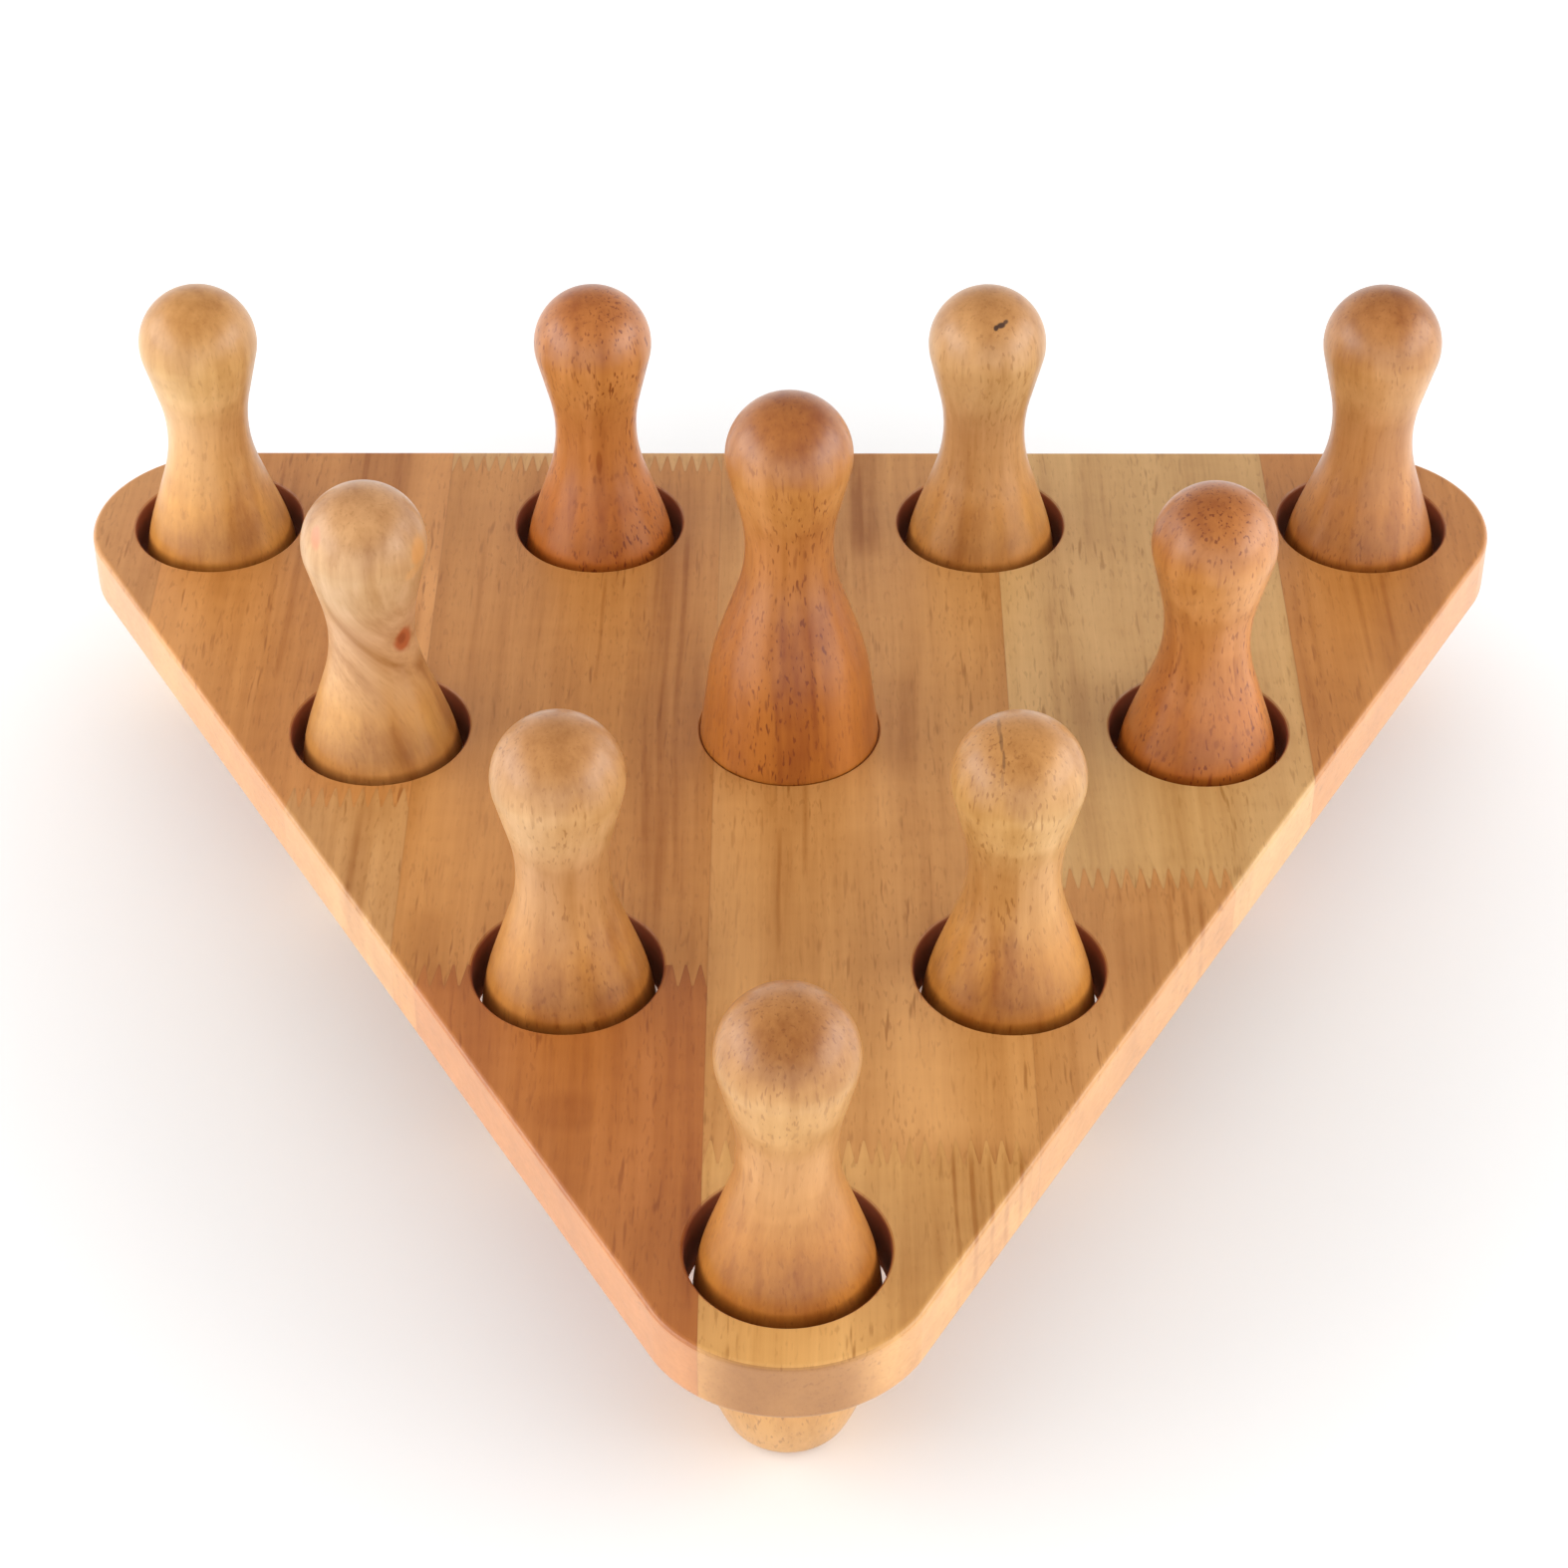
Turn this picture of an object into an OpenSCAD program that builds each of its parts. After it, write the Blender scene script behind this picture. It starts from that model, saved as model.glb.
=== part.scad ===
// Kids' bowling set: a triangular wooden pin board, a fixed handle pin and nine loose pins.
// Millimetres. The floor is z = 0, the handle stands on the origin, the front pin lies towards -Y.
// The board is edge-glued from staves, some of them lengthened by finger joints.

/* [Board] */
// Distance between the centres of neighbouring pins
pin_pitch = 115; // [100:1:140]
// Thickness of the board
board_thick = 18; // [12:0.5:26]
// Height of the board's underside above the floor
board_lift = 40; // [30:1:55]
// Distance from a corner pin's centre out to the board's edge
board_margin = 38; // [32:0.5:50]
// Rounding along the board's top and bottom edges
board_edge = 1.6; // [0.5:0.1:4]
// Diameter of each pin hole
hole_dia = 50; // [47:0.5:58]
// Easing cut around each hole's rim
hole_ease = 0.7; // [0.2:0.1:2]

/* [Staves] */
// Width of one stave
stave_width = 83.2; // [70:0.1:95]
// How far the glue line beside the handle lies to the left of the handle's centre
glue_offset = 21; // [15:0.5:30]
// Number of fingers across one stave
finger_count = 22; // [12:1:30]
// Length of one finger along the grain
finger_length = 8; // [5:0.5:12]
// Width of a finger's blunt tip
finger_tip = 0.5; // [0.3:0.1:1]
// Centre of the finger joint in the second stave, measured back from the handle
joint_2 = -30.8; // [-40:0.1:-29]
// Distance of the back finger joint in the third stave from the board's back edge
joint_3_inset = 6.9; // [6:0.1:12]
// Centre of the front finger joint in the third stave
joint_3_front = -102.8; // [-112:0.1:-90]
// Centre of the finger joint in the fourth stave
joint_4 = -167; // [-180:0.1:-150]
// Centre of the finger joint in the fifth stave
joint_5 = -64.2; // [-72:0.1:-50]

/* [Pins] */
// Height of a loose pin
pin_height = 139; // [125:1:150]
// Height of the fixed handle pin
handle_height = 168; // [155:1:185]
// Radius of the ball head
head_radius = 17.1; // [15:0.1:19]
// Radius of the neck at its thinnest
neck_radius = 12; // [9:0.1:14]
// Depth of the neck below the top of the head
neck_drop = 46; // [42:0.5:52]
// Depth of the belly's widest point below the top of the handle
belly_drop = 100; // [92:1:108]
// How far below the board's underside a loose pin's belly is widest
belly_inset = 1; // [0:0.5:6]
// Clearance all round between a loose pin's belly and its hole
pin_clearance = 1.8; // [0.8:0.1:4]
// Neck curve, as a share of the loosest curve that still meets the head smoothly
neck_sweep = 0.72; // [0.5:0.01:0.95]
// Belly curve, as a share of the loosest curve that still meets the neck smoothly
belly_sweep = 0.88; // [0.6:0.01:0.95]
// Radius of the flat foot
foot_radius = 12; // [9:0.5:15]
// Rounding around the foot
foot_round = 4.3; // [2:0.1:6]

/* [Hidden] */
$fn = 96;
wood_pale = [0.85, 0.66, 0.42];
wood_tan = [0.78, 0.55, 0.32];
wood_red = [0.72, 0.44, 0.24];
board_top = board_lift + board_thick;
row_step = pin_pitch * sqrt(3) / 2;
hole_radius = hole_dia / 2;
belly_radius = hole_radius - pin_clearance;
joint_3_back = row_step + board_margin - joint_3_inset;
// Anything this far out lies beyond the board.
far = 2.5 * pin_pitch;
// How far a cut runs past the face that it opens.
skin = 0.5;
// Sanding leaves the round corners a hair proud of the straight sides.
corner_swell = 0.06;
// Corners of the sawn triangle, as a multiple of the corner pins' distance from the handle.
sawn_reach = 1.6;
// Facets in a quarter turn of the rounded edge.
edge_steps = 5;
// Straight steps in each arc of a pin's outline.
head_steps = 26;
neck_steps = 11;
belly_steps = 6;
skirt_steps = 8;
foot_steps = 6;
// Rise and radius of the neck's arc.
neck_rise = neck_drop - head_radius;
neck_curve = neck_sweep * (neck_rise * neck_rise + neck_radius * neck_radius
    - head_radius * head_radius) / (2 * (head_radius - neck_radius));
// How much wider the belly is than the neck.
belly_step = belly_radius - neck_radius;

// Pin places, numbered as pins are: 1 in front, 5 under the handle, 7 to 10 along the back.
places = [
    [0, -2 * row_step],
    [-pin_pitch / 2, -row_step], [pin_pitch / 2, -row_step],
    [-pin_pitch, 0], [0, 0], [pin_pitch, 0],
    [-1.5 * pin_pitch, row_step], [-0.5 * pin_pitch, row_step],
    [0.5 * pin_pitch, row_step], [1.5 * pin_pitch, row_step]
];
// The three corner pins and the direction that each corner's first side faces.
corners = [[places[6], 90], [places[0], 210], [places[9], 330]];

// Left edge of a stave; the glue line beside the handle is the left edge of stave 4.
function stave_left(n) = (n - 4) * stave_width - glue_offset;

function reversed(list) = [for (i = [len(list) - 1 : -1 : 0]) list[i]];

// Cross-section of what is cut away outside the board, from its rounded edge at `out` outwards.
// The flattest facets run on past both faces of the board, so that they cut them cleanly.
module outside_section(out) {
    run = out - board_edge - skin / tan(45 / edge_steps);
    low = [for (i = [1 : edge_steps]) let (a = 90 * i / edge_steps)
        [out - board_edge * (1 - sin(a)), board_edge * (1 - cos(a))]];
    polygon(concat(
        [[far, -skin], [run, -skin]],
        low,
        [for (p = reversed(low)) [p[0], board_thick - p[1]]],
        [[run, board_thick + skin], [far, board_thick + skin]]
    ));
}

// The whole board before it is divided: a sawn triangle with its three sides planed straight
// and its three corners turned round.
module board_blank() {
    translate([0, 0, board_lift]) difference() {
        linear_extrude(board_thick) polygon([for (c = corners) sawn_reach * c[0]]);
        for (c = corners) translate(c[0]) {
            rotate([90, 0, c[1]]) translate([0, 0, -far]) linear_extrude(3 * far)
                outside_section(board_margin);
            rotate([0, 0, c[1]]) rotate_extrude(angle = 120)
                outside_section(board_margin + corner_swell);
        }
    }
}

// One pin hole: a straight wall with an eased rim at both faces of the board.
module pin_hole(place) {
    rim = hole_radius + hole_ease + skin;
    translate(place) rotate_extrude() polygon([
        [0, board_lift - skin], [rim, board_lift - skin], [hole_radius, board_lift + hole_ease],
        [hole_radius, board_top - hole_ease], [rim, board_top + skin], [0, board_top + skin]
    ]);
}

// Whether a finger has wood to stand on: its root lies inside the board's slanted sides and
// outside every pin hole.
function rooted(x, y) = abs(x) * cos(30) < row_step + board_margin + y / 2
    && min([for (p = places) norm([x, y] - p)]) > hole_radius + hole_ease;

// Zigzag of a finger joint across a stave, from its left edge to its right. The odd fingers belong
// to the front block and point back, the even ones the other way. One without a root is left off.
function fingers(n, y) = let (
        left = stave_left(n),
        right = left + stave_width,
        step = stave_width / (2 * finger_count),
        low = y - finger_length / 2,
        high = y + finger_length / 2,
        t = finger_tip / 2
    ) concat(
        [[left, low], [left + t, low]],
        [for (i = [1 : 2 * finger_count - 1])
            let (x = left + i * step, tip = i % 2 == 1 ? high : low)
            if (rooted(x, low + high - tip)) each [[x - t, tip], [x + t, tip]]],
        [[right - t, low], [right, low]]
    );

// Straight end line across a stave, beyond the board's edge.
function plain_end(n, y) = [[stave_left(n), y], [stave_left(n) + stave_width, y]];

// One block of the board: the blank between two end lines of stave n, less the pin holes it meets.
module block(n, front, back) {
    reach = stave_width / 2 + hole_radius + hole_ease + 2 * skin;
    middle = stave_left(n) + stave_width / 2;
    difference() {
        intersection() {
            board_blank();
            translate([0, 0, board_lift - skin]) linear_extrude(board_thick + 2 * skin)
                polygon(concat(front, reversed(back)));
        }
        for (p = places) if (abs(p[0] - middle) < reach) pin_hole(p);
    }
}

// Points on an arc about centre c, from one direction to another, in degrees.
function arc(c, r, from, to, count) = [for (i = [0 : count])
    let (angle = from + (to - from) * i / count) c + r * [cos(angle), sin(angle)]];

// Direction, seen from circle a, of the straight run that crosses over to circle b.
function crossing(a, ra, b, rb, side) = let (d = b - a)
    atan2(d[1], d[0]) + side * acos((ra + rb) / norm(d));

// Radius of the arc that leaves the body upright at a height and runs into the foot's rounding.
function skirt_curve(wide, height) = let (a = wide - foot_radius, h = height - foot_round)
    (a * a + h * h - foot_round * foot_round) / (2 * (a - foot_round));

// Radius of the belly's arc, whose widest point lies `drop` below the top of the head.
function belly_curve(drop) = let (rise = drop - neck_drop) belly_sweep
    * ((rise * rise + belly_step * belly_step) / (2 * belly_step) - neck_curve);

// Centre of that arc on a pin whose head reaches the height `top`.
function belly_centre(top, drop) = [belly_radius - belly_curve(drop), top - drop];

// Outline of the ball head, neck and upper belly, from the top down to direction `stop` of the belly.
function upper_outline(top, drop, stop) = let (
        head = [0, top - head_radius],
        neck = [neck_radius + neck_curve, top - neck_drop],
        belly = belly_centre(top, drop),
        curve = belly_curve(drop),
        leave_head = crossing(head, head_radius, neck, neck_curve, 1),
        leave_neck = crossing(belly, curve, neck, neck_curve, -1)
    ) concat(
        arc(head, head_radius, 90, leave_head, head_steps),
        arc(neck, neck_curve, 180 + leave_head, 180 + leave_neck, neck_steps),
        arc(belly, curve, leave_neck, stop, belly_steps)
    );

// Outline of the narrowing skirt and the rounded foot, from radius `wide` at a height to the floor.
function lower_outline(wide, height) = let (
        curve = skirt_curve(wide, height),
        centre = [wide - curve, height],
        foot = [foot_radius, foot_round],
        meet = atan2(foot[1] - centre[1], foot[0] - centre[0])
    ) concat(
        arc(centre, curve, 0, meet, skirt_steps),
        arc(foot, foot_round, meet, -90, foot_steps),
        [[0, 0]]
    );

// A loose pin, standing on the floor and centred in its hole, with its belly just below the board.
module loose_pin(n) {
    crest = board_lift - belly_inset;
    upper = upper_outline(pin_height, pin_height - crest, 0);
    lower = lower_outline(belly_radius, crest);
    translate(places[n - 1]) rotate_extrude()
        polygon(concat(upper, [for (i = [1 : len(lower) - 1]) lower[i]]));
}

// The handle: the same head, neck and belly, flared to fill the middle hole and glued in it.
module handle() {
    belly = belly_centre(handle_height, belly_drop);
    seat = [hole_radius, board_top];
    stop = atan2(seat[1] - belly[1], seat[0] - belly[0])
        + acos(belly_curve(belly_drop) / norm(seat - belly));
    upper = upper_outline(handle_height, belly_drop, stop);
    rotate_extrude() polygon(concat(upper, [seat], lower_outline(hole_radius, board_lift)));
}

module stave_1() { color(wood_tan) block(1, plain_end(1, -far), plain_end(1, far)); }
module stave_2_back() { color(wood_tan) block(2, fingers(2, joint_2), plain_end(2, far)); }
module stave_2_front() { color(wood_tan) block(2, plain_end(2, -far), fingers(2, joint_2)); }
module stave_3_back() { color(wood_pale) block(3, fingers(3, joint_3_back), plain_end(3, far)); }
module stave_3_middle() { color(wood_tan) block(3, fingers(3, joint_3_front), fingers(3, joint_3_back)); }
module stave_3_front() { color(wood_red) block(3, plain_end(3, -far), fingers(3, joint_3_front)); }
module stave_4_back() { color(wood_pale) block(4, fingers(4, joint_4), plain_end(4, far)); }
module stave_4_front() { color(wood_tan) block(4, plain_end(4, -far), fingers(4, joint_4)); }
module stave_5_back() { color(wood_pale) block(5, fingers(5, joint_5), plain_end(5, far)); }
module stave_5_front() { color(wood_red) block(5, plain_end(5, -far), fingers(5, joint_5)); }
module stave_6() { color(wood_tan) block(6, plain_end(6, -far), plain_end(6, far)); }
module handle_pin() { color(wood_red) handle(); }
module pin_1() { color(wood_tan) loose_pin(1); }
module pin_2() { color(wood_pale) loose_pin(2); }
module pin_3() { color(wood_pale) loose_pin(3); }
module pin_4() { color(wood_pale) loose_pin(4); }
module pin_6() { color(wood_red) loose_pin(6); }
module pin_7() { color(wood_pale) loose_pin(7); }
module pin_8() { color(wood_red) loose_pin(8); }
module pin_9() { color(wood_tan) loose_pin(9); }
module pin_10() { color(wood_tan) loose_pin(10); }

stave_1();
stave_2_back();
stave_2_front();
stave_3_back();
stave_3_middle();
stave_3_front();
stave_4_back();
stave_4_front();
stave_5_back();
stave_5_front();
stave_6();
handle_pin();
pin_1();
pin_2();
pin_3();
pin_4();
pin_6();
pin_7();
pin_8();
pin_9();
pin_10();
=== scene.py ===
"""Looks for the wooden bowling set: lacquered rubberwood on the board, its handle and the nine loose pins.

Metres, +Z up. The floor is z = 0, the handle stands on the origin and the front pin lies towards -Y.
Materials count in millimetres, because wood grain is easiest to read in them.
"""
import math

import bpy
from mathutils import Matrix, Vector


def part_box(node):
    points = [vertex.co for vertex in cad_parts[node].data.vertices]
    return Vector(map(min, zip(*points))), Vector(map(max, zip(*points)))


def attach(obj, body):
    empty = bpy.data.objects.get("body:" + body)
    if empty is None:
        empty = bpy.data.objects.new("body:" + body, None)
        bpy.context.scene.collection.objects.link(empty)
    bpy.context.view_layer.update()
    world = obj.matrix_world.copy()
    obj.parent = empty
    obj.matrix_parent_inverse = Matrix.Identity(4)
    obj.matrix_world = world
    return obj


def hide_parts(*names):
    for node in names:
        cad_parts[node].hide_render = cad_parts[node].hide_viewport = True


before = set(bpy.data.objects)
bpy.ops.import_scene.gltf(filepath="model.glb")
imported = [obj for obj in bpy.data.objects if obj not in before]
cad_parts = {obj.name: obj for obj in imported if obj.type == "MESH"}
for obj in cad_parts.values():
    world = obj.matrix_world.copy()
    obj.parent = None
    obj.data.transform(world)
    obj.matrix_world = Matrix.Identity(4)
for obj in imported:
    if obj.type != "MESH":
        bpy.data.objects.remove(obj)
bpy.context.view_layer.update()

MM = 0.001
PHOTO_SIDE = 1574
SENSOR = 36.0

# The camera, solved from the rims of the ten holes. It looks at a point on the board's top face.
CAMERA_TARGET = (-1.4, -24.7)
CAMERA_DISTANCE = 1007.8
CAMERA_ELEVATION = 39.53
CAMERA_TURN = 0.24
CAMERA_ROLL = -0.09
CAMERA_FOCAL_PIXELS = 3664.0

# The pins' outline, as in the construction.
HEAD_RADIUS = 17.1
NECK_RADIUS = 12.0
NECK_DROP = 46.0
BELLY_DROP = 100.0
NECK_SWEEP = 0.72
BELLY_SWEEP = 0.88
FOOT_RADIUS = 12.0
FOOT_ROUND = 4.3
PIN_PLAY = 1.8

# How many pieces each part of the outline is cut into, and how many go round a pin.
HEAD_STEPS = 44
NECK_STEPS = 22
BELLY_STEPS = 18
WAIST_STEPS = 6
SKIRT_STEPS = 16
FOOT_STEPS = 12
SEGMENTS = 112

# The board's holes, glue lines and finger joints, in millimetres. A fade is a pair: how far from the line the
# colour starts to change, and how far from it the change ends.
HOLE_RADIUS = 25.0
BORE_FADE = (0.45, 0.15)
SEAM = -21.0
STAVE = 83.2
SEAM_FADE = (0.1, 0.35)
SEAM_DARK = 0.16
FINGER = STAVE / 44
FINGER_FLAT = 0.25
FINGER_FADE = (0.2, 2.2)
FINGER_JOINTS = [
    ("stave_2_back", "stave_2_front", 0.08), ("stave_3_back", "stave_3_middle", 0.12),
    ("stave_3_middle", "stave_3_front", 0.14), ("stave_4_back", "stave_4_front", 0.07),
    ("stave_5_back", "stave_5_front", 0.12),
]

# The wood's colours, as factors on each stave's or pin's own tone.
PALER = (1.32, 1.45, 1.65)
DEEPER = (0.62, 0.47, 0.33)
PORE_DARK = (0.5, 0.37, 0.2)
GLUE_DARK = (0.3, 0.2, 0.15)
END_GRAIN = (0.52, 0.43, 0.33)

# How a pin's colour changes from its head down, matched to the photograph: millimetres from the top and
# factors on the pin's own colour. It is palest at the neck, which is painted sheen, and deepest at the rim of
# the hole, which is painted shade. A loose pin's colour below the rim is painted light that makes up for the
# dim light in the gap round it, down to where the gap hides it.
PIN_PAINTED_LIGHT = [
    (0, (1.0, 0.88, 0.91)), (4, (0.96, 0.87, 0.88)), (10, (0.98, 0.96, 1.05)), (18, (1.06, 1.2, 1.65)),
    (28, (1.07, 1.23, 1.75)), (40, (1.04, 1.1, 1.56)), (54, (1.02, 1.0, 1.13)), (66, (1.03, 0.89, 0.57)),
]
LOOSE_PIN_PAINTED_LIGHT = [
    (72, (0.98, 0.84, 0.5)), (77, (0.9, 0.74, 0.43)), (80.5, (1.02, 0.81, 0.48)), (83, (1.28, 0.98, 0.65)),
    (87, (1.22, 1.01, 0.72)), (94, (1.14, 1.04, 0.84)), (112, (1.05, 1.07, 1.05)), (139, (1.03, 1.12, 1.24)),
]
HANDLE_PAINTED_SHADE = [(112, (0.99, 0.84, 0.5)), (168, (1.03, 1.05, 1.05))]

# The colour of the holes' walls, out of 255, and how much rougher they are than the rest of the board. Their
# darker colour is painted shade in the holes.
BORE_PAINTED_SHADE = (150, 84, 48)
BORE_ROUGH = 0.5

# What the board's upright faces pale towards, out of 255, and by what share: painted sheen, standing in for
# the
# bright floor mirrored in the lacquer on the sides. UPRIGHT and TIPPED go by the upward part of a face's
# normal:
# where a face begins to count as such, and where it counts in full.
UPRIGHT_PAINTED_SHEEN = (230, 184, 144)
UPRIGHT_SHEEN_SHARE = 0.3
UPRIGHT = (0.5, 0.1)
TIPPED = (0.9, 0.5)

# End grain shows on tipped faces at the nose and the back edge, by how squarely they turn to the grain: where
# it begins and is full. A darker line runs along its upper edge, by the upward part of the normal: middle,
# half width and softness.
ENDWISE = (0.75, 0.98)
END_LINE = (0.72, 0.14, 0.08)
END_LINE_DARK = 0.3

# The figure of the wood in layers: features per millimetre across, along and through the grain, the noise's
# roughness, the shift of its seed, and how strongly the layer colours the wood. WANDER is the same number of
# features for the noise by which the grain strays sideways.
FIGURE = {
    "broad": ((0.085, 0.006, 0.06), 0.5, 3, 0.75),
    "middle": ((0.30, 0.012, 0.25), 0.55, 5, 0.5),
    "fibre": ((0.85, 0.03, 0.8), 0.6, 7, 0.27),
    "ripple": ((0.07, 0.17, 0.07), 0.5, 9, 0.2),
}
WANDER = (0.013, 0.011, 0.013)

# Pores: features per millimetre, the shift of the seed, and where in the noise they begin and are full. They
# crowd in some places and thin out to PORES_LEAST in others. They are also pressed into the fine relief, by
# PORE_DEPTH times their strength.
LONG_PORES = ((0.72, 0.085, 0.7), 11, 0.60, 0.76)
SHORT_PORES = ((1.1, 0.26, 1.1), 13, 0.58, 0.69)
PORE_CROWDS = ((0.05, 0.016, 0.05), 17, 0.35, 0.62)
PORES_LEAST = 0.35
PORE_DEPTH = -2.0
BUMP_STRENGTH = 0.1
BUMP_DISTANCE = 0.2 * MM

# How soft streaks are, as a share of their half width and in millimetres at their ends, and how ragged and
# soft patches and marks are, as shares of their radii. A mark has a finer ripple than a patch.
STREAK_SOFT = 0.8
STREAK_FADE = 7.0
BLOB_RAGGED = 0.8
BLOB_FADE = (0.65, 1.25)
MARK_RIPPLE = ((0.3, 0.3, 0.3), 19)

# How strongly long and short pores show, on the board and on a pin of average wood, how strongly a pin's
# grain shows, how far grain wanders in millimetres, and the lacquer.
BOARD_PORES = (0.62, 0.3)
PIN_PORES = (0.5, 0.75)
PIN_GRAIN = 1.25
BOARD_SWAY = 5.0
PIN_SWAY = 12.0
ROUGHNESS = (0.38, 0.46)
COAT = 0.5
SHEEN = 0.022

# Each piece's noise starts from its own seed.
STAVE_SEED_STEP = 11.0
PIN_SEED = 354.0
PIN_SEED_STEP = 7.0

# The studio, in metres. The backdrop's and the band's limits are the upward part of a direction instead. A
# radiance of 1 is white.
BOX_DISTANCE = 1.05
BOX_BACK = -0.15
BOX_HEIGHT = 0.45
BOX_AIM = (0, -0.03, 0.08)
BOX_SIZE = (1.3, 0.6)
BOX_RADIANCE = 2.5
BACKDROP = 0.25
BACKDROP_FROM = 0.2
BACKDROP_TO = 0.5
BAND_LIGHT = 3.5
BAND_FULL = 0.15
BAND_END = 0.45
CEILING_LIGHT = 0.58
FLOOR_SIDE = 12.0
FLOOR_WHITE = 0.95
FLOOR_GLOW = 0.22
GLOW_FROM = 0.15
GLOW_FULL = 0.42

# Tones as the photograph shows them, out of 255.
TONES = {
    "stave_1": (202, 143, 87), "stave_2_back": (201, 136, 76), "stave_2_front": (204, 149, 92),
    "stave_3_back": (210, 161, 105), "stave_3_middle": (201, 138, 77), "stave_3_front": (187, 116, 62),
    "stave_4_back": (206, 147, 86), "stave_4_front": (213, 158, 93), "stave_5_back": (205, 159, 101),
    "stave_5_front": (200, 141, 82), "stave_6": (192, 128, 69), "handle_pin": (171, 111, 58),
    "pin_1": (179, 126, 69), "pin_2": (184, 134, 79), "pin_3": (187, 137, 77), "pin_4": (193, 148, 96),
    "pin_6": (177, 115, 60), "pin_7": (193, 144, 83), "pin_8": (181, 116, 60), "pin_9": (186, 138, 82),
    "pin_10": (174, 120, 67),
}

# Streaks and patches on the board, as wood() takes them, stave by stave from the left.
BOARD_STREAKS = [
    # second stave
    (-126, 9, 108, 150, 0.26), (-131, 1.2, 95, 145, 0.2), (-139, 6, 15, 84, 0.12),
    (-146, 1.0, 25, 112, 0.2), (-152, 1.0, 40, 122, 0.18), (-156.5, 0.5, 85, 130, 0.2),
    (-109.5, 5, 58, 150, -0.34), (-106, 1.8, 24, 74, -0.34), (-181, 7, 25, 85, -0.25),
    (-174, 10, 15, 62, -0.1), (-118, 1.0, -90, -40, 0.18), (-112, 1.2, -85, -45, -0.24),
    (-122, 1.4, -80, -40, -0.16),
    # third stave
    (-95, 6, -78, -22, -0.2), (-32, 10, -104, 90, 0.14), (-31.5, 0.8, -70, 90, 0.16),
    (-35.6, 1.0, -95, 90, 0.14), (-40, 0.8, -50, 90, 0.1), (-92, 0.8, 20, 90, 0.14),
    (-84, 1.0, 40, 110, 0.1), (-55, 0.5, 20, 70, 0.2), (-30, 1.2, -176, -108, 0.1),
    (-25, 1.0, -185, -112, 0.1), (-44, 1.4, -168, -112, 0.1), (-36, 1.4, -190, -130, -0.15),
    # fourth stave
    (-14, 5, -116, -28, -0.2), (53, 8, 15, 140, 0.06), (35, 11, -163, -103, -0.24), (4, 0.7, -60, 60, 0.14),
    (-3, 0.5, -95, -45, 0.22), (12, 7, 68, 135, 0.05), (22, 0.7, 60, 128, 0.18), (49, 12, -205, -166, 0.18),
    (41, 0.5, -205, -168, 0.26), (45.5, 0.6, -200, -168, 0.28), (50, 0.5, -195, -168, 0.26),
    (54, 0.6, -190, -168, 0.26), (58, 0.5, -185, -168, 0.24), (0, 19, -250, -212, -0.12),
    (28, 5, -245, -200, 0.14), (50, 5, 25, 80, -0.12), (20, 14, -45, -15, -0.12), (22, 4.5, 84, 150, 0.32),
    # The next streak, beside the handle, is painted reflection: an orange tint laid on the wood there.
    (31, 5, -20, 26, 0.12),
    # fifth stave
    (68, 6, -62, 150, -0.14), (141, 3, 0, 150, -0.16), (76, 1.2, 0, 60, 0.12), (81, 0.8, 20, 75, 0.1),
    (96, 0.7, 40, 120, 0.1), (84, 8, -120, -78, 0.05), (105, 0.7, -92, -70, 0.26),
    (109, 0.7, -92, -72, 0.26), (101, 0.6, -100, -70, 0.2), (90, 10, 22, 82, -0.14), (92, 8, -62, 0, -0.08),
    # sixth stave
    (149, 1.2, -5, 66, 0.14), (153, 0.7, 20, 80, 0.16), (168, 0.8, 30, 70, 0.16), (176, 0.7, 40, 75, 0.16),
    (152, 6, 25, 85, -0.1),
]
BOARD_PATCHES = [
    ((-56, -153, 58), (10, 7, 60), 0.12), ((-88, -103, 58), (8, 6, 60), 0.08),
    ((-60, 20, 58), (16, 30, 60), -0.06), ((110, 0, 58), (22, 36, 60), 0.05),
]
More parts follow.
